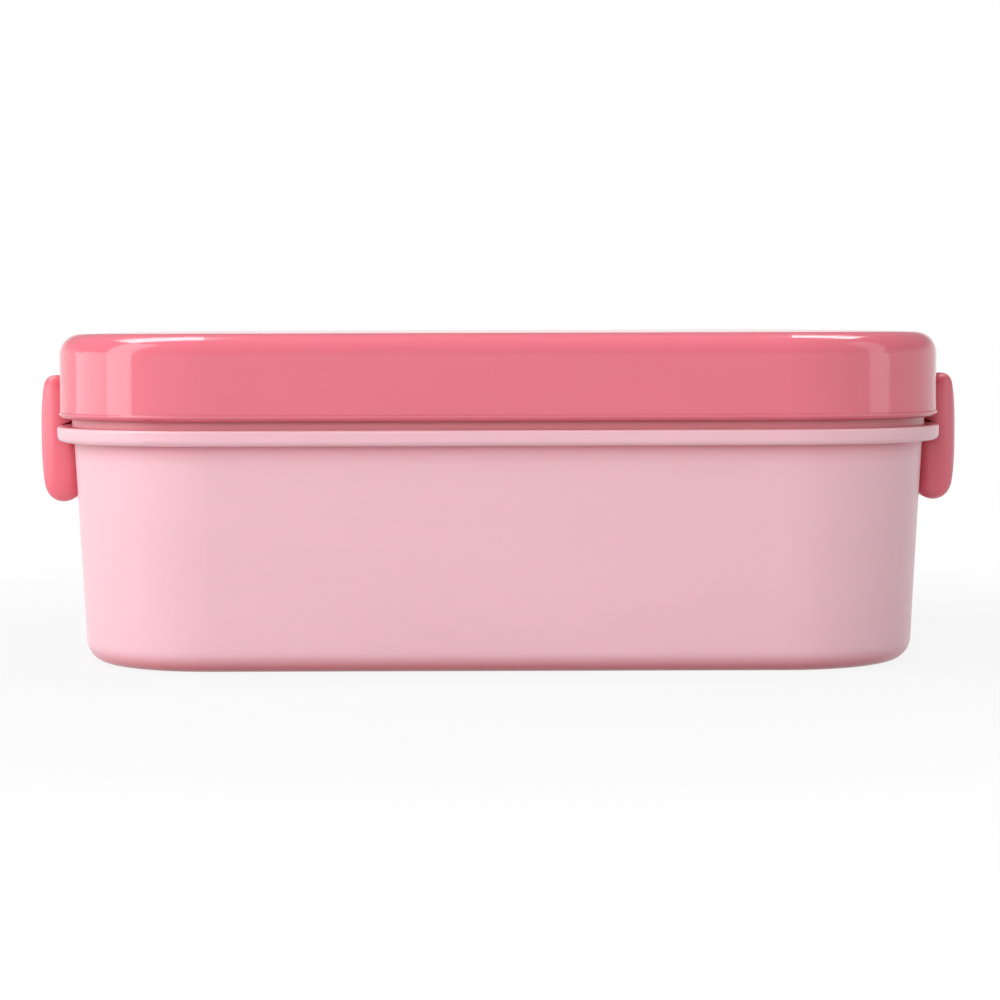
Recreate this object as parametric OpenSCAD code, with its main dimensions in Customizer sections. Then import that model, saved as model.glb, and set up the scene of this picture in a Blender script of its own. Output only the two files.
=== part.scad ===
// Bento lunch box: tapered box with a rim flange, sealed lid, two snap clips hinged on the lid's ends,
// and inside it a lift-out tray with wells, a slide-in divider, a spoon and a fork.
// Origin at the middle of the base, +Z up, the long side along X and the front towards -Y.

/* [Box] */
// Length over the rim flange
rim_l = 174; // [156:1:210]
// Depth over the rim flange, front to back
rim_w = 120; // [104:1:150]
// Corner radius of the rim flange seen from above
rim_r = 32; // [28:0.5:33]
// Height of the rim flange's underside above the table
rim_z = 43.4; // [36:0.2:60]
// Thickness of the rim flange
rim_t = 3; // [2.4:0.1:3.6]
// How far the rim flange stands out past the neck
rim_reach = 2.9; // [2.4:0.1:3.6]
// Rounding of the rim flange's upper edge
rim_top_round = 0.5; // [0.2:0.1:1]
// Rounding of the rim flange's lower edge
rim_low_round = 1.1; // [0.4:0.1:1.4]
// Height of the sealing neck above the rim flange
neck_h = 12.5; // [10:0.5:14]
// Wall thickness of the neck
neck_t = 1.6; // [1.2:0.1:2.2]
// Step inwards from the neck's outer face to the body's, hidden by the flange
body_step = 0.4; // [0.2:0.1:0.8]
// Wall thickness of the body under the flange
body_t = 2.4; // [2.2:0.1:3]
// Thickness of the box's floor
floor_t = 2.2; // [1.6:0.1:3]
// Lean of the body's walls from upright, in degrees
body_draft = 3; // [1:0.25:5]
// Rounding between the body's walls and its base
base_round = 4.4; // [3:0.2:7]
// Depth of the shallow recess in the base, which leaves a ring to stand on
base_recess = 0.5; // [0.3:0.1:1]
// Width of the ring that the box stands on
foot_ring_w = 5; // [3:0.5:8]
// Depth of the ledge that carries the tray below the flange's top
ledge_drop = 1.4; // [0.8:0.1:2]

/* [Lid] */
// Height of the lid's side from its lower edge to its top
lid_h = 16.55; // [14:0.05:24]
// Wall thickness of the lid
lid_t = 2.1; // [1.6:0.1:2.6]
// Gap between the rim flange and the lid's lower edge
lid_gap = 1.6; // [1.2:0.1:3]
// How far the lid's side lies in from the flange's edge
lid_inset = 0.5; // [0.3:0.1:0.8]
// Rounding of the lid's top edge
lid_top_round = 4.2; // [3:0.2:5]
// Rounding of the lid's lower edge
lid_low_round = 0.9; // [0.4:0.1:0.9]
// Rise of the lid's top from its edge to its middle
lid_crown = 0.45; // [0.1:0.05:1]
// Thickness of the plug rib that holds the seal from inside
plug_t = 1.4; // [1:0.1:2]
// How far the plug rib reaches below the neck's top
plug_reach = 2.3; // [1.5:0.1:4]

/* [Clips] */
// Width of each clip along the box's short side
clip_w = 44; // [36:1:48]
// Wall thickness of each clip
clip_t = 1.6; // [1.2:0.1:2]
// Wall thickness of each clip's upright ends
clip_end_t = 3; // [2.4:0.2:4]
// Radius of the bow of each clip's outer face, seen from the front
bow_r = 55; // [45:1:80]
// Radius of the round lower end of each clip
foot_r = 3.7; // [3.2:0.1:4.4]
// How far each clip reaches below the flange's underside
clip_drop = 12.6; // [10:0.2:15]
// Radius of the barrel at the clip's upper end
barrel_r = 2.2; // [2:0.05:2.4]
// Radius of the pins moulded on the clip
pin_r = 0.95; // [0.8:0.05:1]
// Height of the hinge axis above the lid's lower edge
hinge_rise = 6.1; // [5.5:0.1:7.5]
// How far the hook reaches under the flange
hook_reach = 1.1; // [0.8:0.1:1.6]
// Thickness of the hook at its tip
hook_t = 0.9; // [0.6:0.1:1.4]
// Rounding of the clip's outer edges all the way round
clip_edge_r = 2.1; // [1.6:0.1:2.3]
// Rounding of the clip's upright edges at its face, seen from above
clip_side_r = 4.6; // [3.4:0.2:5.4]
// Rounding of the clip's upright edges beside the box's wall
clip_back_r = 2; // [0.8:0.1:2.2]
// Thickness of each hinge ear on the lid
ear_t = 3.2; // [2.4:0.2:4]
// Distance from the middle of the clip to the middle of each ear
ear_y = 12; // [9:0.5:14]

/* [Tray] */
// Wall thickness of the tray
tray_t = 1.5; // [1.2:0.1:1.8]
// Depth of the wells below the tray's deck, measured outside
well_depth = 21; // [16:0.5:28]
// Corner radius of the wells
well_r = 20; // [19.5:0.5:22]
// Gap between the wells and the box's walls at the ledge
well_gap = 2; // [1.8:0.1:3]
// Width of the deck between the long and the short well
wells_apart = 4; // [3:0.5:8]
// Rounding between the wells' walls and floors
well_round = 4; // [3:0.5:6]
// Distance from the box's middle to the wall between the long and the short well
well_wall_x = 14.5; // [6:0.5:20]
// Width of the cutlery bay along the front of the tray
bay_w = 31.5; // [31:0.5:34]
// Thickness of the removable divider
divider_t = 1.5; // [1.2:0.1:2]
// Radius of the finger notches in the tray's ends
notch_r = 9; // [7:0.5:10]

/* [Cutlery] */
// Length of the spoon and of the fork
cutlery_l = 122; // [110:1:128]
// Width of the spoon's and the fork's heads
head_w = 27; // [22:0.5:28]
// Width of the handles
handle_w = 11; // [9:0.5:13]
// Thickness of the handles and heads
cutlery_t = 1.8; // [1.4:0.1:2]
// Radius of the hollow of the heads
bowl_r = 34; // [30:0.5:40]
// Number of the fork's tines
tines = 4; // [3:1:5]
// Width of the slots between the fork's tines
slot_w = 2.6; // [2:0.1:3]
// Length of the fork's head behind its slots
fork_root = 6.5; // [5.5:0.5:10]

/* [Fits] */
// Clearance of the lid round the neck
lid_clear = 0.35; // [0.3:0.05:0.5]
// Clearance of the clip's moving parts round the lid
clip_clear = 0.3; // [0.3:0.05:0.5]
// Clearance of the hook under the flange
hook_clear = 0.15; // [0.1:0.05:0.3]
// Radial clearance of the pins in the ears
pin_clear = 0.05; // [0.03:0.01:0.08]
// How much narrower the ears' mouths are than the pins that snap in
pin_snap = 0.4; // [0.2:0.05:0.6]
// Clearance of the tray inside the neck
tray_clear = 0.4; // [0.3:0.05:0.6]
// Gap between the tray's rim and the lid's plug rib
tray_gap = 0.6; // [0.3:0.1:2]
// Clearance of the divider in its guides
divider_clear = 0.3; // [0.3:0.05:0.5]
// Gap between the pieces of the nested cutlery at their nearest
nest_gap = 0.35; // [0.3:0.05:0.6]

/* [Hidden] */
$fn = 96;
eps = 0.01;
// Step where a rounding meets a flat face
seam = 0.05;

box_pink = [0.93, 0.77, 0.81];
lid_pink = [0.90, 0.50, 0.56];
tray_white = [0.96, 0.93, 0.92];
seal_white = [0.90, 0.90, 0.90];

// All plan outlines share the same four corner centres.
corner_x = rim_l / 2 - rim_r;
corner_y = rim_w / 2 - rim_r;

// Box, as radii about the corner centres and heights
lean = tan(body_draft);
rim_top = rim_z + rim_t;
neck_top = rim_top + neck_h;
neck_r = rim_r - rim_reach;
neck_in_r = neck_r - neck_t;
body_r = neck_r - body_step;
body_in_r = body_r - body_t;
base_r = body_r - lean * rim_z;
ledge_z = rim_top - ledge_drop;
base_in_r = body_in_r - lean * (ledge_z - floor_t);
inner_round = base_round - 1;
rim_lean = 0.1;
neck_round = 0.3;

// Lid
lid_low = rim_top + lid_gap;
lid_top = lid_low + lid_h;
lid_r = rim_r - lid_inset;
skirt_in_r = neck_r + lid_clear;
ceiling_z = lid_top - lid_t;
plug_out_r = neck_in_r - tray_clear;
plug_low = neck_top - plug_reach;
lid_lean = 0.15;
seal_side = 0.1;
seal_groove_r = 0.6;

// Clips
lid_end_x = corner_x + lid_r;
rim_end_x = corner_x + rim_r;
hinge_x = lid_end_x + clip_clear + barrel_r;
hinge_z = lid_low + hinge_rise;
foot_z = rim_z - clip_drop + foot_r;
bow_z = (hinge_z + foot_z) / 2;
bow_x = hinge_x - sqrt(pow(bow_r - barrel_r, 2) - pow(hinge_z - bow_z, 2));
foot_x = bow_x + sqrt(pow(bow_r - foot_r, 2) - pow(bow_z - foot_z, 2));
hinge_a = atan2(hinge_z - bow_z, hinge_x - bow_x);
foot_a = atan2(foot_z - bow_z, foot_x - bow_x);
bow_out_x = bow_x + bow_r;
hook_x = rim_end_x - hook_reach;
hook_z = rim_z - hook_clear;
hook_root = 3 * hook_t;
clip_back_x = corner_x + neck_r + clip_clear;
clip_depth = bow_out_x - clip_back_x + 2;
edge_r = min(clip_edge_r, barrel_r - 0.1);
core_half = clip_w / 2 - edge_r;
hollow_half = clip_w / 2 - clip_end_t;
tooth_r = norm([hinge_x - rim_end_x, hinge_z - rim_top]) - hook_clear;
tooth_top = lid_low - clip_clear;
ear_r = barrel_r;
pin_hole_r = pin_r + pin_clear;
mouth_w = 2 * pin_r - pin_snap;

// Tray
tray_r = neck_in_r - tray_clear;
tray_in_r = tray_r - tray_t;
deck_top = ledge_z + tray_t;
tray_top = plug_low - tray_gap;
tray_side_h = tray_top - ledge_z;
well_low = ledge_z - well_depth;
well_lean = tan(2);
deck_strip = 1;
wall_drop = 1;
well_end_x = corner_x + body_in_r - tray_t - well_gap;
bay_wall_y = -corner_y - tray_in_r + bay_w;
well_front_y = bay_wall_y + tray_t + deck_strip;
well_back_y = corner_y + body_in_r - tray_t - well_gap;
well_mid_y = (well_front_y + well_back_y) / 2;
well_ly = well_back_y - well_front_y;
long_well_x0 = -well_end_x;
long_well_x1 = well_wall_x - wells_apart / 2;
short_well_x0 = well_wall_x + wells_apart / 2;
short_well_x1 = well_end_x;
long_well_mid = (long_well_x0 + long_well_x1) / 2;
divider_top = tray_top - wall_drop;
guide_t = 1.2;
guide_reach = 2;

// Cutlery
bay_mid_y = bay_wall_y - bay_w / 2;
neck_lap = 1.5;
head_stretch = 1.5;
handle_dip = bowl_r - sqrt(pow(bowl_r, 2) - pow(head_w / 2 - neck_lap, 2));
head_h = handle_dip + cutlery_t;
head_low = deck_top + nest_gap;
handle_z = head_low + handle_dip;
head_x = cutlery_l / 2 - head_w / 2 - head_stretch;
neck_x = head_x - head_w / 2 + 0.8 * neck_lap;
// The nested heads come nearest at the edge of the lower one's hollow.
nest_step = (cutlery_t + nest_gap) / (1 - handle_dip / (bowl_r - cutlery_t));
cradle_h = handle_z - deck_top;
cradle_t = 2;
// Distances of the cradles from the handle's end
cradle_at = [14, 62];

// Sweeps a section, drawn as radius against height, round a rounded rectangle's corner centres.
module sweep(cx = corner_x, cy = corner_y) {
    for (q = [0:3]) {
        sx = q == 0 || q == 3 ? 1 : -1;
        sy = q < 2 ? 1 : -1;
        translate([sx * cx, sy * cy, 0]) rotate([0, 0, 90 * q]) rotate_extrude(angle = 90) children();
    }
    for (s = [0, 180]) rotate([0, 0, s]) {
        translate([cx, cy, 0]) rotate([90, 0, 0]) linear_extrude(height = 2 * cy) children();
        translate([-cx, cy, 0]) rotate([90, 0, 90]) linear_extrude(height = 2 * cx) children();
    }
}

// A section block from the axis out to a leaning side, with rounded outer corners.
module block(r0, r1, z0, z1, low_round, top_round) {
    s = (r1 - r0) / (z1 - z0);
    n = sqrt(1 + s * s);
    low_x = r0 + s * low_round - low_round * n;
    top_x = r1 - s * top_round - top_round * n;
    polygon([
        [0, z0],
        [low_x, z0],
        [low_x + low_round / n, z0 + low_round - low_round * s / n],
        [top_x + top_round / n, z1 - top_round - top_round * s / n],
        [top_x, z1],
        [0, z1],
    ]);
    if (low_round > 0) {
        translate([low_x, z0 + low_round]) circle(r = low_round);
    }
    if (top_round > 0) {
        translate([top_x, z1 - top_round]) circle(r = top_round);
    }
}

// Fills the middle of a swept piece between two heights.
module slab(z0, z1, cx = corner_x, cy = corner_y) {
    translate([-cx, -cy, z0]) cube([2 * cx, 2 * cy, z1 - z0]);
}

module box_section() {
    difference() {
        union() {
            block(base_r, body_r, 0, rim_z, base_round, 0);
            block(rim_r - rim_lean, rim_r, rim_z, rim_top, rim_low_round, rim_top_round);
            block(neck_r, neck_r, rim_top - rim_t / 2, neck_top, 0, neck_round);
        }
        block(base_in_r, body_in_r, floor_t, ledge_z + eps, inner_round, 0);
        translate([0, ledge_z]) square([neck_in_r, neck_top]);
        translate([0, -1]) square([base_r - base_round - foot_ring_w, 1 + base_recess]);
    }
}

module box() {
    color(box_pink) {
        sweep() box_section();
        slab(base_recess, floor_t);
    }
}

// The top falls away from the lid's middle to its rounded edge.
module lid_section() {
    crown_r = lid_r - lid_top_round;
    steps = 6;
    difference() {
        union() {
            block(lid_r, lid_r - lid_lean, lid_low, lid_top, lid_low_round, lid_top_round);
            polygon(concat(
                [[0, ceiling_z]],
                [[crown_r, ceiling_z]],
                [for (i = [0:steps]) let (u = 1 - i / steps) [crown_r * u, lid_top + lid_crown * (1 - u * u)]]
            ));
        }
        translate([0, lid_low - 1]) square([skirt_in_r, ceiling_z - lid_low + 1]);
    }
    translate([plug_out_r - plug_t, plug_low]) square([plug_t, ceiling_z - plug_low + eps]);
}

// A snap ear: an eye for the clip's pin, open at its top, on a web from the lid's end wall.
module ear() {
    translate([0, ear_t / 2, 0]) rotate([90, 0, 0]) linear_extrude(height = ear_t) difference() {
        union() {
            translate([hinge_x, hinge_z]) circle(r = ear_r);
            polygon([
                [lid_end_x - lid_t / 2, hinge_z - ear_r - 1],
                [lid_end_x, hinge_z - ear_r - 1],
                [hinge_x, hinge_z - ear_r],
                [hinge_x, hinge_z + ear_r],
                [lid_end_x, hinge_z + ear_r + 1],
                [lid_end_x - lid_t / 2, hinge_z + ear_r + 1],
            ]);
        }
        translate([hinge_x, hinge_z]) circle(r = pin_hole_r);
        translate([hinge_x - mouth_w / 2, hinge_z]) square([mouth_w, ear_r + 1]);
    }
}

module lid() {
    color(lid_pink) {
        sweep() lid_section();
        slab(ceiling_z, lid_top + lid_crown);
        for (side = [0, 180]) {
            rotate([0, 0, side]) for (y = [-ear_y, ear_y]) translate([0, y, 0]) ear();
        }
    }
}

module lid_seal() {
    seal_in_r = plug_out_r + seal_side;
    seal_out_r = skirt_in_r - seal_side;
    color(seal_white) sweep() difference() {
        translate([seal_in_r, neck_top]) square([seal_out_r - seal_in_r, ceiling_z - neck_top]);
        translate([(seal_in_r + seal_out_r) / 2, ceiling_z]) circle(r = seal_groove_r, $fn = 48);
    }
}

module along_y(half) {
    translate([0, half, 0]) rotate([90, 0, 0]) linear_extrude(height = 2 * half) children();
}

// Turns a section, drawn as radius against Y, about an axis along Y between two angles from +X.
module turn(x, z, from, to) {
    translate([x, 0, z]) rotate([90, 0, 0]) rotate([0, 0, from]) {
        rotate_extrude(angle = to - from) children();
    }
}

// The clip's section between two radii, with round outer edges, drawn in by an inset all round.
module clip_section(r0, r, inset = 0) {
    half = clip_w / 2 - inset;
    intersection() {
        union() {
            translate([0, -half]) square([r - edge_r, 2 * half]);
            translate([0, -core_half]) square([r - inset, 2 * core_half]);
            for (s = [-1, 1]) translate([r - edge_r, s * core_half]) circle(r = edge_r - inset, $fn = 48);
        }
        translate([r0, -half]) square([r - inset - r0, 2 * half]);
    }
}

// The clip's full form: a round foot, a bowed face and a round top that run into each other.
module clip_form() {
    turn(bow_x, bow_z, foot_a, hinge_a, $fn = 360) clip_section(bow_r - clip_depth, bow_r);
    turn(foot_x, foot_z, 0, 360) clip_section(0, foot_r, seam);
    turn(hinge_x, hinge_z, 0, 360) clip_section(0, barrel_r, seam);
}

// Plan of what rounds the clip's corner that lies at x and points along X by the given sign.
module clip_corner(x, r, sign) {
    translate([x - sign * r, clip_w / 2 - r]) difference() {
        translate([sign > 0 ? 0 : -r - 1, 0]) square([r + 1, r + 1]);
        circle(r = r + seam);
    }
}

// What rounds the clip's four upright edges.
module clip_corners() {
    low = foot_z - foot_r - 1;
    for (s = [0, 1]) mirror([0, s, 0]) translate([0, 0, low]) {
        linear_extrude(height = clip_drop + 1) clip_corner(clip_back_x, clip_back_r, -1);
        linear_extrude(height = hinge_z + barrel_r + 1 - low) clip_corner(bow_out_x, clip_side_r, 1);
    }
}

// The hollow behind the clip's face, seen from the front.
module clip_hollow() {
    intersection() {
        difference() {
            translate([bow_x, bow_z]) circle(r = bow_r - clip_t, $fn = 720);
            translate([hinge_x, hinge_z]) circle(r = barrel_r - 2 * seam);
        }
        translate([clip_back_x - 1, foot_z]) square([clip_depth, hinge_z - foot_z]);
    }
    intersection() {
        translate([foot_x, foot_z]) circle(r = foot_r - clip_t);
        translate([clip_back_x - 1, foot_z - foot_r]) square([clip_depth, foot_r + eps]);
    }
}

// What the clip's back leaves free, seen from the front: the flange, the way past it, and the lid.
module clip_catch_space() {
    reach = clip_depth;
    translate([clip_back_x - reach, foot_z - foot_r - 1]) square([reach, hook_z - foot_z + foot_r + 1]);
    difference() {
        translate([rim_end_x + clip_clear - reach, hook_z]) square([reach, tooth_top - hook_z]);
        intersection() {
            translate([hinge_x, hinge_z]) circle(r = tooth_r);
            translate([clip_back_x, rim_top]) square([reach, tooth_top - rim_top + 1]);
        }
    }
    translate([lid_end_x + clip_clear + seam - reach, tooth_top]) {
        square([reach, hinge_z + barrel_r - tooth_top + 1]);
    }
}

// Slot through the clip's top for an ear, open outwards.
module ear_slot() {
    slot_r = ear_r + clip_clear;
    translate([hinge_x, hinge_z]) circle(r = slot_r);
    translate([hinge_x, hinge_z - slot_r]) square([barrel_r + 2, 2 * slot_r]);
}

// The right clip: a hollow bowed shell, round at its edges, with pins on top and a hook across its inside.
module clip() {
    color(lid_pink) {
        difference() {
            union() {
                difference() {
                    clip_form();
                    along_y(hollow_half) clip_hollow();
                }
                along_y(hollow_half + eps) polygon([
                    [hook_x, hook_z - hook_t],
                    [bow_out_x - clip_t, hook_z - hook_root],
                    [bow_out_x - clip_t, hook_z],
                    [hook_x, hook_z],
                ]);
            }
            along_y(clip_w) clip_catch_space();
            for (y = [-ear_y, ear_y]) translate([0, y, 0]) along_y(ear_t / 2 + clip_clear) ear_slot();
            clip_corners();
        }
        for (y = [-ear_y, ear_y]) translate([0, y, 0]) along_y(ear_t / 2 + 2 * clip_clear) {
            translate([hinge_x, hinge_z]) circle(r = pin_r);
        }
    }
}

module clip_right() clip();

module clip_left() mirror([1, 0, 0]) clip();

// A rounded cup with leaning walls, given by its inner plan at the deck.
module well_shape(x0, x1, grow, low, high) {
    r = well_r + grow;
    cx = (x1 - x0) / 2 - well_r;
    cy = well_ly / 2 - well_r;
    r_low = r - well_lean * (high - low);
    translate([(x0 + x1) / 2, well_mid_y, 0]) {
        sweep(cx, cy) block(r_low, r, low, high, well_round + grow, 0);
        slab(low, high, cx, cy);
    }
}

// Half the inside length of a well along Y at a height.
function well_half_y(z) = well_ly / 2 - well_lean * (deck_top - z);

// Side guides and floor rails that hold the divider upright.
module divider_guides() {
    gap = divider_t / 2 + divider_clear;
    for (sx = [-1, 1], sy = [-1, 1]) {
        x = long_well_mid + sx * (gap + guide_t / 2);
        translate([x - guide_t / 2, well_mid_y + sy * (well_ly / 2 - guide_reach / 2) - guide_reach, 0]) {
            translate([0, 0, well_low + tray_t / 2]) cube([guide_t, 2 * guide_reach, well_depth]);
        }
    }
}

// Saddles that hold the cutlery off the deck.
module cradles() {
    half = handle_w / 2 + 2 * nest_gap;
    for (from_end = cradle_at) {
        translate([from_end - cutlery_l / 2 - cradle_t / 2, bay_mid_y, deck_top - eps]) {
            translate([0, -half, 0]) cube([cradle_t, 2 * half, cradle_h + eps]);
            for (s = [-1, 1]) translate([0, s * (half + cradle_t / 2) - cradle_t / 2, 0]) {
                cube([cradle_t, cradle_t, cradle_h + 2 * cutlery_t]);
            }
        }
    }
}

module tray_plan(r) {
    sweep() translate([0, ledge_z]) square([r, tray_side_h]);
    slab(ledge_z, tray_top);
}

module tray_inside() {
    inside_h = tray_top - deck_top + 1;
    translate([0, 0, deck_top]) {
        sweep() square([tray_in_r, inside_h]);
        slab(0, inside_h);
    }
}

// Low walls behind the cutlery bay and between the wells.
module tray_walls() {
    wall_h = tray_side_h - wall_drop;
    intersection() {
        union() {
            translate([-rim_l / 2, bay_wall_y, ledge_z]) cube([rim_l, tray_t, wall_h]);
            translate([well_wall_x - tray_t / 2, bay_wall_y, ledge_z]) cube([tray_t, rim_w, wall_h]);
        }
        tray_plan(tray_r - tray_t / 2);
    }
}

module wells(grow, low, high) {
    well_shape(long_well_x0, long_well_x1, grow, low, high);
    well_shape(short_well_x0, short_well_x1, grow, low, high);
}

// Finger notches in the tray's two end walls.
module tray_notches() {
    for (side = [-1, 1]) {
        translate([side * (corner_x + tray_r), well_mid_y, tray_top + notch_r / 3]) {
            rotate([0, 90, 0]) cylinder(r = notch_r, h = 4 * tray_t, center = true);
        }
    }
}

module bento_tray() {
    color(tray_white) difference() {
        union() {
            difference() {
                tray_plan(tray_r);
                tray_inside();
            }
            wells(tray_t, well_low, deck_top - eps);
            tray_walls();
            cradles();
        }
        difference() {
            wells(0, well_low + tray_t, deck_top);
            divider_guides();
        }
        tray_notches();
    }
}

// A plate that fills the long well's section, with a finger notch in its upper edge.
module tray_divider() {
    z0 = well_low + tray_t;
    y0 = well_half_y(z0) - divider_clear;
    y1 = well_half_y(deck_top) - divider_clear;
    round_r = well_round + divider_clear;
    color(tray_white) translate([long_well_mid - divider_t / 2, well_mid_y, 0]) {
        rotate([90, 0, 90]) linear_extrude(height = divider_t) difference() {
            union() {
                for (s = [0, 1]) mirror([s, 0, 0]) block(y0, y1, z0, deck_top, round_r, 0);
                translate([-y1, deck_top - eps]) square([2 * y1, divider_top - deck_top + eps]);
            }
            translate([0, divider_top + notch_r / 2]) circle(r = notch_r);
        }
    }
}

// Plan outline of the cutlery's handle, narrow at the neck and round at its end.
module handle_outline() {
    end_x = handle_w / 2 - cutlery_l / 2;
    translate([end_x, 0]) circle(r = handle_w / 2);
    polygon([
        [end_x, -handle_w / 2],
        [neck_x, -handle_w / 3],
        [neck_x, handle_w / 3],
        [end_x, handle_w / 2],
    ]);
}

// Plan outline of a head: a round back and a drawn-out tip.
module head_outline() {
    tip_r = head_w / 4;
    tip_x = cutlery_l / 2 - tip_r;
    d = tip_x - head_x;
    a = acos((head_w / 2 - tip_r) / d);
    translate([head_x, 0]) circle(r = head_w / 2);
    translate([tip_x + eps, 0]) circle(r = tip_r + eps);
    polygon([
        [head_x + head_w / 2 * cos(a), -head_w / 2 * sin(a)],
        [tip_x + tip_r * cos(a), -tip_r * sin(a)],
        [tip_x + tip_r * cos(a), tip_r * sin(a)],
        [head_x + head_w / 2 * cos(a), head_w / 2 * sin(a)],
    ]);
}

// A head dished to a sphere, with its flat rim level with the top of the handle.
module utensil() {
    translate([0, bay_mid_y, 0]) {
        translate([0, 0, handle_z]) linear_extrude(height = cutlery_t) handle_outline();
        difference() {
            intersection() {
                translate([0, 0, head_low - 1]) linear_extrude(height = head_h + 1) children();
                translate([head_x, 0, head_low + bowl_r]) rotate([90, 0, 0]) sphere(r = bowl_r);
            }
            translate([head_x, 0, head_low + bowl_r]) rotate([90, 0, 0]) sphere(r = bowl_r - cutlery_t);
        }
    }
}

module spoon() {
    color(lid_pink) utensil() head_outline();
}

module fork() {
    pitch = head_w / (tines + 0.2);
    slot_x = head_x - head_w / 2 + fork_root;
    color(lid_pink) translate([0, 0, nest_step]) utensil() difference() {
        head_outline();
        for (k = [1:tines - 1]) translate([slot_x, (k - tines / 2) * pitch]) {
            translate([0, -slot_w / 2]) square([cutlery_l / 2 - slot_x + 1, slot_w]);
            circle(r = slot_w / 2);
        }
    }
}

box();
bento_tray();
tray_divider();
spoon();
fork();
lid_seal();
lid();
clip_left();
clip_right();
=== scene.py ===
import math

import bmesh
import bpy
from mathutils import Matrix, Vector


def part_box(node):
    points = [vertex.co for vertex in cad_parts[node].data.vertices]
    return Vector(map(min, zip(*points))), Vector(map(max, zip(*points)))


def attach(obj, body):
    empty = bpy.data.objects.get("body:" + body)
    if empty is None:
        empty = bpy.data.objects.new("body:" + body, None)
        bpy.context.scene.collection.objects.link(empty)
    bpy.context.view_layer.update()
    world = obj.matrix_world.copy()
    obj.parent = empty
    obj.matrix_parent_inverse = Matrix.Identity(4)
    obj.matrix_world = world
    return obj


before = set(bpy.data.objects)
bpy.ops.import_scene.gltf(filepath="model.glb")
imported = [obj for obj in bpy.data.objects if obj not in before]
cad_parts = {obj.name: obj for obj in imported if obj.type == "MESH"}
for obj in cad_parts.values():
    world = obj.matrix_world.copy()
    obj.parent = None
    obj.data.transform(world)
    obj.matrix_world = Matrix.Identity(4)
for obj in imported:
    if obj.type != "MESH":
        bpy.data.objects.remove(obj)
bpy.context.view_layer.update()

MM = 0.001

# Camera: where the photograph was taken from, in millimetres, degrees and pixels of a 1000 x 1000 frame.
FRAME_PX = 1000
CAM_BACK = 580.3
CAM_HEIGHT = 65.5
CAM_TILT = 3.537
CAM_ROLL = -0.173
CAM_FOCAL_PX = 2787.5
CAM_CENTRE_PX = -1.66
SENSOR = 36.0

# Colours, as sRGB 0 to 255.
BOX_PINK = (233, 186, 196)
LID_PINK = (224, 113, 129)
CLIP_PINK = (226, 108, 124)
TRAY_WHITE = (240, 233, 229)
SEAL_MILK = (228, 228, 226)
# Painted shade: the colours that narrow gaps are tinted towards, in place of the shade and the light bounced
# between coloured walls there.
PAINTED_SHADE_CRIMSON = (214, 100, 112)
PAINTED_SHADE_GREY = (212, 200, 194)
FLOOR_WHITE = (195, 195, 195)
PLAIN_WHITE = (1, 1, 1, 1)

# Plastic: reach in metres of the paler edges (wear and painted highlight) and of the painted shade in gaps,
# the painted shade's strength, and the path of light in the material, with its depth in metres for red, green
# and blue.
EDGE_WEAR_AND_HIGHLIGHT = 0.0005
PAINTED_SHADE_REACH = 0.004
PAINTED_SHADE_DEPTH = 0.9
PLASTIC_IOR = 1.50
PLASTIC_SCATTER = (0.0030, 0.0014, 0.0012)
SILICONE_SCATTER = (0.002, 0.002, 0.002)

# Plastics: colour, roughness, strength of the flow marks, share of cells with a speck, height of the fine
# texture in metres, and share of scattered light. Some also have their own strength of the paler edges (wear
# and painted highlight), colour of the painted shade in narrow gaps or rounding of the edges in metres. The
# box's
# roughness stays above 0.28: below that, the denoiser leaves outlines on its wall.
PLASTICS = {
    "box_plastic": {
        "rgb": BOX_PINK,
        "roughness": 0.30,
        "flow": 0.010,
        "speck_share": 0.008,
        "texture": 0.000003,
        "sss": 0.20,
    },
    "lid_plastic": {
        "rgb": LID_PINK,
        "roughness": 0.09,
        "flow": 0.008,
        "speck_share": 0.004,
        "texture": 0.000001,
        "sss": 0.20,
    },
    "clip_plastic": {
        "rgb": CLIP_PINK,
        "roughness": 0.17,
        "flow": 0.012,
        "speck_share": 0.005,
        "texture": 0.000002,
        "sss": 0.50,
        # Paler edges: handling wear and a painted highlight.
        "wear_and_highlight": 0.30,
        "roundness": 0.003,
    },
    "tray_plastic": {
        "rgb": TRAY_WHITE,
        "roughness": 0.36,
        "flow": 0.010,
        "speck_share": 0.006,
        "texture": 0.000008,
        "sss": 0.12,
        # Painted shade in the tray's narrow gaps.
        "gap": PAINTED_SHADE_GREY,
    },
    "cutlery_plastic": {
        "rgb": LID_PINK,
        "roughness": 0.18,
        "flow": 0.016,
        "speck_share": 0.008,
        "texture": 0.000005,
        "sss": 0.10,
    },
}
NODE_MATERIALS = {
    "box": "box_plastic",
    "lid": "lid_plastic",
    "lid_seal": "seal_silicone",
    "clip_left": "clip_plastic",
    "clip_right": "clip_plastic",
    "bento_tray": "tray_plastic",
    "tray_divider": "tray_plastic",
    "spoon": "cutlery_plastic",
    "fork": "cutlery_plastic",
}

# Lid edge bead, in metres. The plan's corner centres are those of the lid.
CORNER_X = 0.055
CORNER_Y = 0.028
BEAD_Z = 0.00088  # middle of the bead above the lid's lowest point
BEAD_HALF = 0.00034  # half of its height
BEAD_REACH = 0.00022  # how far it stands out of the lid's side
BEAD_ROOT = 0.0006  # how far it is sunk in the lid's side
BEAD_END_Y = 0.026  # where it has run out, nearer to the clips
BEAD_FADE = 0.006  # length over which it runs out
BEAD_CORNER_STEPS = 24
BEAD_SIDES = 12

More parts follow.
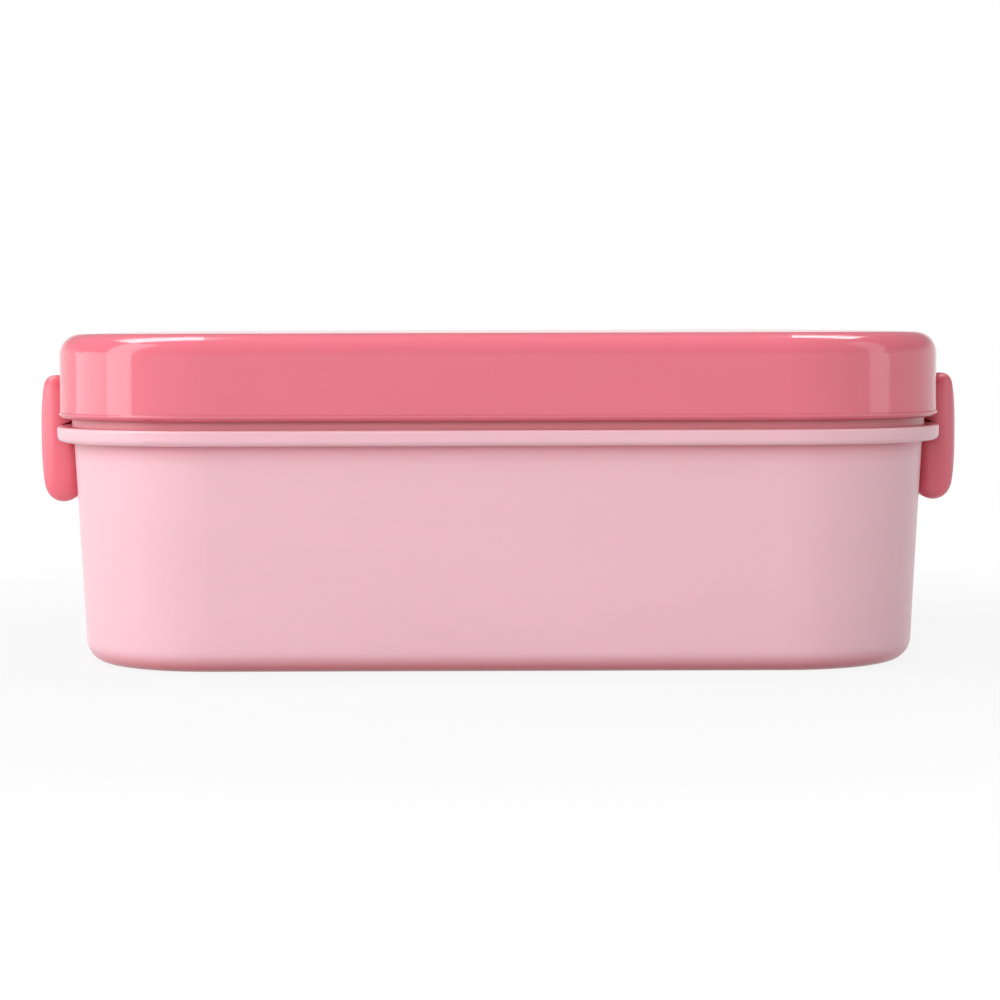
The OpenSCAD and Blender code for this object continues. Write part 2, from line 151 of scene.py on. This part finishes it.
# Mould marks, in metres. The profile gives radius and rise as shares of a mark's radius and height.
MARK_HEIGHT = 0.00008
MARK_SIDES = 40
MARK_PROFILE = ((0.25, 0.35), (0.32, -0.3), (0.86, -0.3), (0.90, 0.8), (1.0, 1.0), (1.08, 0.7), (1.12, -0.4))
GATE_RADIUS = 0.0035
GATE_LOOK_FROM_Z = -0.01
EJECTOR_RADIUS = 0.0030
EJECTOR_LOOK_FROM_Z = 0.05
EJECTOR_X = 0.060
EJECTOR_Y = 0.034

# Standing lamps: azimuth (0 is in front, negative to the left), elevation, distance, width, height, power.
LAMPS = {
    "side_left": (-70, 24, 1.00, 0.40, 1.00, 4.3),
    "side_right": (72, 24, 1.10, 0.36, 1.00, 1.6),
    "back_left": (-98, 5, 1.10, 0.66, 0.26, 0.9),
    "front_right": (40, 22, 1.70, 0.80, 0.80, 2.6),
    "low_left": (-18, 14, 1.20, 0.60, 0.50, 5.1),
    "front_left": (-40, 34, 1.30, 0.70, 0.60, 2.8),
    "back_fill": (172, 10, 1.50, 0.90, 0.60, 5.5),
}
# Ceiling panels that face straight down: left and right edge, front and back edge, height, power.
CEILING = {
    "ceiling_left": (-0.86, -0.16, -0.04, 0.30, 1.05, 4.6),
    "ceiling_right": (0.17, 0.62, 0.06, 0.32, 1.05, 2.4),
    "ceiling_wide": (-0.75, 0.75, -0.60, 0.60, 1.30, 1.2),
    "strip_left": (-0.84, -0.18, -0.10, 0.50, 1.04, 5.0),
    "strip_right": (0.18, 0.62, 0.02, 0.50, 1.04, 2.7),
}
# Plain fill lamps that leave no patch in the gloss.
HIDDEN_IN_GLOSS = {"front_left", "front_right", "low_left", "back_fill"}
# Panels that are only seen in the gloss, as the two bright strips along the lid's top edge.
ONLY_IN_GLOSS = {"strip_left", "strip_right"}
LAMP_AIM = (0, 0, 0.035)

# Surround: its plain light, its white where it is seen, and what is left of that white in reflections
# of directions above the horizon.
WORLD_LIGHT = 0.20
WHITE_SEEN = 1.0
GLOSS_ABOVE = 0.15
HORIZON_LOW = 0.02
HORIZON_HIGH = 0.30

# Floor: a wide disc a hair under the object. Its shadow fades to white over a span of distances, in metres.
FLOOR_RADIUS = 8.0
FLOOR_Z = -0.00005
FLOOR_SIDES = 96
FLOOR_FADE_FROM = 0.10
FLOOR_FADE_TO = 0.26
FLOOR_WHITE_NEAR = 0.88


def linear(rgb):
    """sRGB 0-255 to the linear RGBA that shader sockets take."""
    out = []
    for c in rgb:
        c = c / 255
        out.append(c / 12.92 if c <= 0.04045 else ((c + 0.055) / 1.055) ** 2.4)
    return (*out, 1.0)


def tinted(rgb, factor):
    """The colour made lighter or darker by a factor."""
    return tuple(min(255, c * factor) for c in rgb)


class Tree:
    """A small helper that adds nodes to a material and links them."""

    def __init__(self, name):
        self.material = bpy.data.materials.new(name)
        self.material.use_nodes = True
        self.nodes = self.material.node_tree.nodes
        self.links = self.material.node_tree.links
        self.nodes.clear()
        self.out = self.add("ShaderNodeOutputMaterial")
        self.column = 0

    def add(self, kind, **settings):
        """A new node with the given settings."""
        node = self.nodes.new(kind)
        for key, value in settings.items():
            setattr(node, key, value)
        return node

    def link(self, a, b):
        self.links.new(a, b)

    def put(self, socket, value):
        """Links a socket to a socket, or sets a plain value on it."""
        if isinstance(value, bpy.types.NodeSocket):
            self.link(value, socket)
        else:
            socket.default_value = value

    def coords(self, scale):
        """Object coordinates in metres, scaled along each axis."""
        where = self.add("ShaderNodeTexCoord")
        mapping = self.add("ShaderNodeMapping")
        mapping.inputs["Scale"].default_value = scale
        self.link(where.outputs["Object"], mapping.inputs["Vector"])
        return mapping.outputs["Vector"]

    def noise(self, scale, detail=2.0, rough=0.5, distortion=0.0):
        """Noise from 0 to 1, with its own count of waves per metre along each axis."""
        node = self.add("ShaderNodeTexNoise")
        self.put(node.inputs["Vector"], self.coords(scale))
        node.inputs["Scale"].default_value = 1.0
        node.inputs["Detail"].default_value = detail
        node.inputs["Roughness"].default_value = rough
        node.inputs["Distortion"].default_value = distortion
        return node.outputs["Fac"]

    def span(self, value, lo, hi, out_lo=0.0, out_hi=1.0, smooth=False):
        """Maps lo..hi to out_lo..out_hi and holds it between them."""
        node = self.add("ShaderNodeMapRange", clamp=True)
        if smooth:
            node.interpolation_type = "SMOOTHSTEP"
        self.put(node.inputs["Value"], value)
        node.inputs["From Min"].default_value = lo
        node.inputs["From Max"].default_value = hi
        node.inputs["To Min"].default_value = out_lo
        node.inputs["To Max"].default_value = out_hi
        return node.outputs["Result"]

    def math(self, operation, a, b=0.0):
        """One step of arithmetic on two values."""
        node = self.add("ShaderNodeMath", operation=operation)
        self.put(node.inputs[0], a)
        self.put(node.inputs[1], b)
        return node.outputs["Value"]

    def mix(self, factor, a, b):
        """Mixes two colours by a factor."""
        node = self.add("ShaderNodeMix", data_type="RGBA")
        self.put(node.inputs["Factor"], factor)
        self.put(node.inputs["A"], a)
        self.put(node.inputs["B"], b)
        return node.outputs["Result"]

    def rounded(self, radius, samples):
        """The surface's direction as if its edges were rounded."""
        node = self.add("ShaderNodeBevel", samples=samples)
        node.inputs["Radius"].default_value = radius
        return node.outputs["Normal"]

    def bump(self, height, distance, normal=None):
        """The surface's direction with fine relief of the given height in metres."""
        node = self.add("ShaderNodeBump")
        self.put(node.inputs["Height"], height)
        node.inputs["Distance"].default_value = distance
        node.inputs["Strength"].default_value = 1.0
        if normal is not None:
            self.link(normal, node.inputs["Normal"])
        return node.outputs["Normal"]


def specks(t, scale, share, size):
    """1 on small scattered specks: the cell centres of a share of the cells."""
    cells = t.add("ShaderNodeTexVoronoi", feature="F1")
    t.put(cells.inputs["Vector"], t.coords((scale, scale, scale)))
    cells.inputs["Scale"].default_value = 1.0
    chosen = t.add("ShaderNodeSeparateColor")
    t.link(cells.outputs["Color"], chosen.inputs["Color"])
    near = t.span(cells.outputs["Distance"], size * 0.5, size, 1.0, 0.0)
    pick = t.math("LESS_THAN", chosen.outputs["Red"], share)
    return t.math("MULTIPLY", near, pick)


def edge_mask(t, radius):
    """1 along sharp edges, where handling wears and lightens the plastic, and where the paler colour is also
    a painted highlight on the edge rounds.
    """
    geometry = t.add("ShaderNodeNewGeometry")
    dot = t.add("ShaderNodeVectorMath", operation="DOT_PRODUCT")
    t.link(t.rounded(radius, 4), dot.inputs[0])
    t.link(geometry.outputs["Normal"], dot.inputs[1])
    return t.span(dot.outputs["Value"], 0.995, 0.90, 0.0, 1.0)


def painted_gap_shade(t, distance, depth):
    """Painted shade: 0 in the open, up to depth in narrow gaps, a colour that stands in for the shade there
    and the light bounced between coloured walls.
    """
    reach = t.add("ShaderNodeAmbientOcclusion", samples=12)
    reach.inputs["Distance"].default_value = distance
    return t.span(reach.outputs["AO"], 0.15, 1.0, depth, 0.0)


def plastic_colour(t, rgb, flow, speck_share, wear_and_highlight, worn_and_highlight, gap):
    """The plain colour with flow marks, dark and pale specks, paler edges from handling and as a painted
    highlight, and painted shade in narrow gaps.
    """
    flow_marks = t.noise((9, 14, 55), detail=3.0, rough=0.55, distortion=0.6)
    layers = (
        (t.math("MULTIPLY", specks(t, 210, speck_share, 0.16), 0.30), tinted(rgb, 0.70)),
        (t.math("MULTIPLY", specks(t, 330, speck_share, 0.14), 0.35), tinted(rgb, 1.2)),
        # Paler edges: handling wear and a painted highlight.
        (t.math("MULTIPLY", worn_and_highlight, wear_and_highlight), tinted(rgb, 1.12)),
        # Painted shade in narrow gaps.
        (painted_gap_shade(t, PAINTED_SHADE_REACH, PAINTED_SHADE_DEPTH), gap),
    )
    darker = linear(tinted(rgb, 1 - flow))
    lighter = linear(tinted(rgb, 1 + flow * 0.7))
    colour = t.mix(t.span(flow_marks, 0.2, 0.8, smooth=True), darker, lighter)
    for share, layer in layers:
        colour = t.mix(share, colour, linear(layer))
    return colour


def plastic(name, rgb, roughness, flow, speck_share, texture, sss, wear_and_highlight=0.25, gap=PAINTED_SHADE_CRIMSON, roundness=0.0):
    """Moulded plastic: flow marks, specks, hairline scratches, a fine mould texture, edges paled by handling
    and by a painted highlight, and painted shade in narrow gaps.
    """
    t = Tree(name)
    shader = t.add("ShaderNodeBsdfPrincipled")
    t.link(shader.outputs["BSDF"], t.out.inputs["Surface"])
    cloud = t.noise((26, 26, 26), detail=2.0)
    # Paler, rougher edges: handling wear, and a painted highlight on the edge rounds.
    worn_and_highlight = t.math("MULTIPLY", edge_mask(t, EDGE_WEAR_AND_HIGHLIGHT), t.span(cloud, 0.2, 0.9, 0.2, 1.0, smooth=True))
    t.put(shader.inputs["Base Color"], plastic_colour(t, rgb, flow, speck_share, wear_and_highlight, worn_and_highlight, gap))
    scratches = t.span(t.noise((60, 2600, 700), detail=1.0, distortion=1.2), 0.74, 0.80)
    rough = t.span(cloud, 0.1, 0.9, roughness * 0.94, roughness * 1.06, smooth=True)
    rough = t.math("ADD", rough, t.math("MULTIPLY", worn_and_highlight, 0.06))
    rough = t.math("ADD", rough, t.math("MULTIPLY", scratches, 0.05))
    t.put(shader.inputs["Roughness"], rough)
    grain = t.noise((1900, 1900, 1900), detail=2.0, rough=0.6)
    height = t.math("SUBTRACT", grain, t.math("MULTIPLY", scratches, 0.25))
    soft = t.rounded(roundness, 8) if roundness > 0 else None
    t.put(shader.inputs["Normal"], t.bump(height, texture, normal=soft))
    shader.inputs["IOR"].default_value = PLASTIC_IOR
    shader.inputs["Subsurface Weight"].default_value = sss
    shader.inputs["Subsurface Radius"].default_value = PLASTIC_SCATTER
    shader.inputs["Subsurface Scale"].default_value = 1.0
    return t.material


def silicone(name, rgb):
    """Milky, slightly dusty silicone with a soft sheen."""
    t = Tree(name)
    shader = t.add("ShaderNodeBsdfPrincipled")
    t.link(shader.outputs["BSDF"], t.out.inputs["Surface"])
    cloud = t.noise((120, 120, 120), detail=3.0)
    dust = specks(t, 900, 0.05, 0.2)
    colour = t.mix(t.span(cloud, 0.3, 0.7), linear(tinted(rgb, 0.96)), linear(tinted(rgb, 1.03)))
    colour = t.mix(t.math("MULTIPLY", dust, 0.3), colour, linear(tinted(rgb, 1.1)))
    t.put(shader.inputs["Base Color"], colour)
    t.put(shader.inputs["Roughness"], t.span(cloud, 0.3, 0.7, 0.48, 0.6))
    t.put(shader.inputs["Normal"], t.bump(t.noise((1500, 1500, 1500)), 0.00002))
    shader.inputs["Subsurface Weight"].default_value = 0.35
    shader.inputs["Subsurface Radius"].default_value = SILICONE_SCATTER
    shader.inputs["Subsurface Scale"].default_value = 1.0
    return t.material


def set_material(node, material):
    """Gives a CAD node its finished material."""
    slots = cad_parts[node].data.materials
    if not slots:
        slots.append(material)
    for k in range(len(slots)):
        slots[k] = material


def dress_nodes():
    """Gives all nine CAD nodes their materials."""
    materials = {name: plastic(name, **values) for name, values in PLASTICS.items()}
    materials["seal_silicone"] = silicone("seal_silicone", SEAL_MILK)
    looks = {node: materials[name] for node, name in NODE_MATERIALS.items()}
    for node, material in looks.items():
        set_material(node, material)
    return looks


def mesh_piece(name, points, faces, body, material):
    """A smooth mesh piece that rides on a body and takes its finish from a slot."""
    mesh = bpy.data.meshes.new(name)
    mesh.from_pydata(points, [], faces)
    mesh.validate()
    fix = bmesh.new()
    fix.from_mesh(mesh)
    bmesh.ops.recalc_face_normals(fix, faces=fix.faces)
    fix.to_mesh(mesh)
    fix.free()
    mesh.shade_smooth()
    mesh.materials.append(material)
    piece = bpy.data.objects.new(name, mesh)
    bpy.context.scene.collection.objects.link(piece)
    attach(piece, body)
    return piece


def tube_faces(rings, sides):
    """Faces of a closed tube of rings of points, with a cap at each end."""
    faces = []
    for i in range(rings - 1):
        near, far = i * sides, (i + 1) * sides
        for k in range(sides):
            n = (k + 1) % sides
            faces.append((near + k, near + n, far + n, far + k))
    last = (rings - 1) * sides
    faces.append(tuple(range(sides)))
    faces.append(tuple(range(last, last + sides)))
    return faces


def lid_edge_path(radius):
    """Points and outward directions right round the lid's plan, starting at its right end."""
    path = []
    for quarter, (sx, sy) in enumerate(((1, 1), (-1, 1), (-1, -1), (1, -1))):
        for k in range(BEAD_CORNER_STEPS + 1):
            a = math.radians(90 * quarter + 90 * k / BEAD_CORNER_STEPS)
            out = Vector((math.cos(a), math.sin(a), 0))
            path.append((Vector((sx * CORNER_X, sy * CORNER_Y, 0)) + out * radius, out))
    return path


def add_lid_bead(material):
    """The fine raised line along the lid's lower edge. It runs out in the corners, clear of the clips."""
    low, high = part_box("lid")
    path = lid_edge_path(high.y - CORNER_Y)
    half = [p for p in path if p[0].y < 0]
    for name, side in (("front", 1), ("back", -1)):
        points = []
        for place, out in half:
            room = min(1.0, max(0.0, (-place.y - BEAD_END_Y) / BEAD_FADE))
            for k in range(BEAD_SIDES):
                a = 2 * math.pi * k / BEAD_SIDES
                reach = BEAD_REACH * room * math.cos(a) if math.cos(a) > 0 else BEAD_ROOT * math.cos(a)
                point = place + out * reach
                points.append((point.x * side, point.y * side, low.z + BEAD_Z + BEAD_HALF * math.sin(a)))
        faces = tube_faces(len(half), BEAD_SIDES)
        mesh_piece("lid_edge_bead_" + name, points, faces, "lid", material)


def add_ring_mark(name, node, body, x, y, look_from_z, radius, material):
    """A faint round mould mark on the surface that is met first on the way up from a height."""
    hit, place, _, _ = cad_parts[node].ray_cast(Vector((x, y, look_from_z)), Vector((0, 0, 1)))
    if not hit:
        return
    points = []
    for share, rise in MARK_PROFILE:
        for k in range(MARK_SIDES):
            a = 2 * math.pi * k / MARK_SIDES
            r = radius * share
            points.append((x + r * math.cos(a), y + r * math.sin(a), place.z - MARK_HEIGHT * rise))
    mesh_piece(name, points, tube_faces(len(MARK_PROFILE), MARK_SIDES), body, material)


def add_mould_marks(looks):
    """Gate mark under the box and ejector marks inside the lid."""
    add_ring_mark("box_gate_mark", "box", "box", 0, 0, GATE_LOOK_FROM_Z, GATE_RADIUS, looks["box"])
    for k, (sx, sy) in enumerate(((-1, -1), (1, -1), (1, 1), (-1, 1))):
        name = "lid_ejector_mark_%d" % (k + 1)
        place = (sx * EJECTOR_X, sy * EJECTOR_Y)
        add_ring_mark(name, "lid", "lid", *place, EJECTOR_LOOK_FROM_Z, EJECTOR_RADIUS, looks["lid"])


def sphere_point(azimuth, elevation, distance):
    """The place at a bearing and a distance. Azimuth 0 is in front, and negative is to the left."""
    a, e = math.radians(azimuth), math.radians(elevation)
    return Vector((math.sin(a) * math.cos(e), -math.cos(a) * math.cos(e), math.sin(e))) * distance


def soft_box(name, width, height, power, location):
    """A rectangular area lamp that faces down until it is turned."""
    data = bpy.data.lights.new("lamp_" + name, "AREA")
    data.shape = "RECTANGLE"
    data.size = width
    data.size_y = height
    data.energy = power
    lamp = bpy.data.objects.new("lamp_" + name, data)
    bpy.context.scene.collection.objects.link(lamp)
    lamp.location = location
    lamp.visible_glossy = name not in HIDDEN_IN_GLOSS
    lamp.visible_diffuse = name not in ONLY_IN_GLOSS
    return lamp


def add_lamps():
    """Soft boxes round the object, aimed at its middle, and panels over it that face straight down."""
    aim = Vector(LAMP_AIM)
    for name, (azimuth, elevation, distance, width, height, power) in LAMPS.items():
        lamp = soft_box(name, width, height, power, aim + sphere_point(azimuth, elevation, distance))
        lamp.rotation_euler = (aim - lamp.location).to_track_quat("-Z", "Y").to_euler()
    for name, (left, right, front, back, height, power) in CEILING.items():
        middle = ((left + right) / 2, (front + back) / 2, height)
        soft_box(name, right - left, back - front, power, middle)


def seen_directly(tree, gloss_share=None):
    """1 for rays from the camera, in reflections and through clear material. Reflections may get a share."""

    def calculate(operation, a, b):
        node = tree.nodes.new("ShaderNodeMath")
        node.operation = operation
        tree.links.new(a, node.inputs[0])
        tree.links.new(b, node.inputs[1])
        return node.outputs["Value"]

    path = tree.nodes.new("ShaderNodeLightPath")
    gloss = path.outputs["Is Glossy Ray"]
    if gloss_share is not None:
        gloss = calculate("MULTIPLY", gloss, gloss_share)
    seen = calculate("MAXIMUM", path.outputs["Is Camera Ray"], path.outputs["Is Transmission Ray"])
    return calculate("MAXIMUM", seen, gloss)


def horizon_share(tree):
    """1 at and below the horizon, where reflections find the white surround, and less above it."""
    where = tree.nodes.new("ShaderNodeTexCoord")
    split = tree.nodes.new("ShaderNodeSeparateXYZ")
    span = tree.nodes.new("ShaderNodeMapRange")
    span.interpolation_type = "SMOOTHSTEP"
    span.inputs["From Min"].default_value = HORIZON_LOW
    span.inputs["From Max"].default_value = HORIZON_HIGH
    span.inputs["To Min"].default_value = 1.0
    span.inputs["To Max"].default_value = GLOSS_ABOVE
    tree.links.new(where.outputs["Generated"], split.inputs[0])
    tree.links.new(split.outputs["Z"], span.inputs["Value"])
    return span.outputs["Result"]


def add_world():
    """A white surround: white where it is seen, and a plain even light elsewhere."""
    world = bpy.data.worlds.new("studio")
    bpy.context.scene.world = world
    world.use_nodes = True
    tree = world.node_tree
    tree.nodes.clear()
    out = tree.nodes.new("ShaderNodeOutputWorld")
    mix = tree.nodes.new("ShaderNodeMixShader")
    light = tree.nodes.new("ShaderNodeBackground")
    white = tree.nodes.new("ShaderNodeBackground")
    light.inputs["Strength"].default_value = WORLD_LIGHT
    white.inputs["Strength"].default_value = WHITE_SEEN
    for node in (light, white):
        node.inputs["Color"].default_value = PLAIN_WHITE
    tree.links.new(seen_directly(tree, horizon_share(tree)), mix.inputs["Fac"])
    tree.links.new(light.outputs["Background"], mix.inputs[1])
    tree.links.new(white.outputs["Background"], mix.inputs[2])
    tree.links.new(mix.outputs["Shader"], out.inputs["Surface"])


def floor_material():
    """White paper that keeps the shadow close to the object and fades to plain white."""
    t = Tree("floor_paper")
    diffuse = t.add("ShaderNodeBsdfDiffuse")
    fibre = t.noise((400, 400, 400), detail=3.0)
    t.put(diffuse.inputs["Color"], t.mix(fibre, linear(tinted(FLOOR_WHITE, 0.995)), linear(FLOOR_WHITE)))
    white = t.add("ShaderNodeEmission")
    white.inputs["Color"].default_value = PLAIN_WHITE
    white.inputs["Strength"].default_value = WHITE_SEEN
    where = t.add("ShaderNodeTexCoord")
    length = t.add("ShaderNodeVectorMath", operation="LENGTH")
    t.link(where.outputs["Object"], length.inputs[0])
    fade = t.span(length.outputs["Value"], FLOOR_FADE_FROM, FLOOR_FADE_TO, FLOOR_WHITE_NEAR, 1.0, smooth=True)
    share = t.math("MULTIPLY", seen_directly(t.material.node_tree), fade)
    mix = t.add("ShaderNodeMixShader")
    t.link(share, mix.inputs["Fac"])
    t.link(diffuse.outputs["BSDF"], mix.inputs[1])
    t.link(white.outputs["Emission"], mix.inputs[2])
    t.link(mix.outputs["Shader"], t.out.inputs["Surface"])
    return t.material


def add_floor():
    """A wide round floor under the object."""
    points = [(0, 0, FLOOR_Z)]
    faces = []
    for k in range(FLOOR_SIDES):
        a = 2 * math.pi * k / FLOOR_SIDES
        points.append((FLOOR_RADIUS * math.cos(a), FLOOR_RADIUS * math.sin(a), FLOOR_Z))
        faces.append((0, 1 + k, 1 + (k + 1) % FLOOR_SIDES))
    mesh = bpy.data.meshes.new("studio_floor")
    mesh.from_pydata(points, [], faces)
    floor = bpy.data.objects.new("studio_floor", mesh)
    bpy.context.scene.collection.objects.link(floor)
    mesh.materials.append(floor_material())


def add_camera():
    """The camera at the photograph's place and angle."""
    data = bpy.data.cameras.new("camera")
    data.sensor_width = SENSOR
    data.lens = CAM_FOCAL_PX / FRAME_PX * SENSOR
    data.shift_x = -CAM_CENTRE_PX / FRAME_PX
    data.clip_start = 0.01
    data.clip_end = 50
    camera = bpy.data.objects.new("camera", data)
    bpy.context.scene.collection.objects.link(camera)
    place = Matrix.Translation((0, -CAM_BACK * MM, CAM_HEIGHT * MM))
    tilt = Matrix.Rotation(math.radians(90 - CAM_TILT), 4, "X")
    roll = Matrix.Rotation(math.radians(CAM_ROLL), 4, "Z")
    camera.matrix_world = place @ tilt @ roll
    bpy.context.scene.camera = camera


bpy.context.scene.view_settings.view_transform = "Standard"
add_camera()
add_world()
add_lamps()
add_floor()
looks = dress_nodes()
add_lid_bead(looks["lid"])
add_mould_marks(looks)
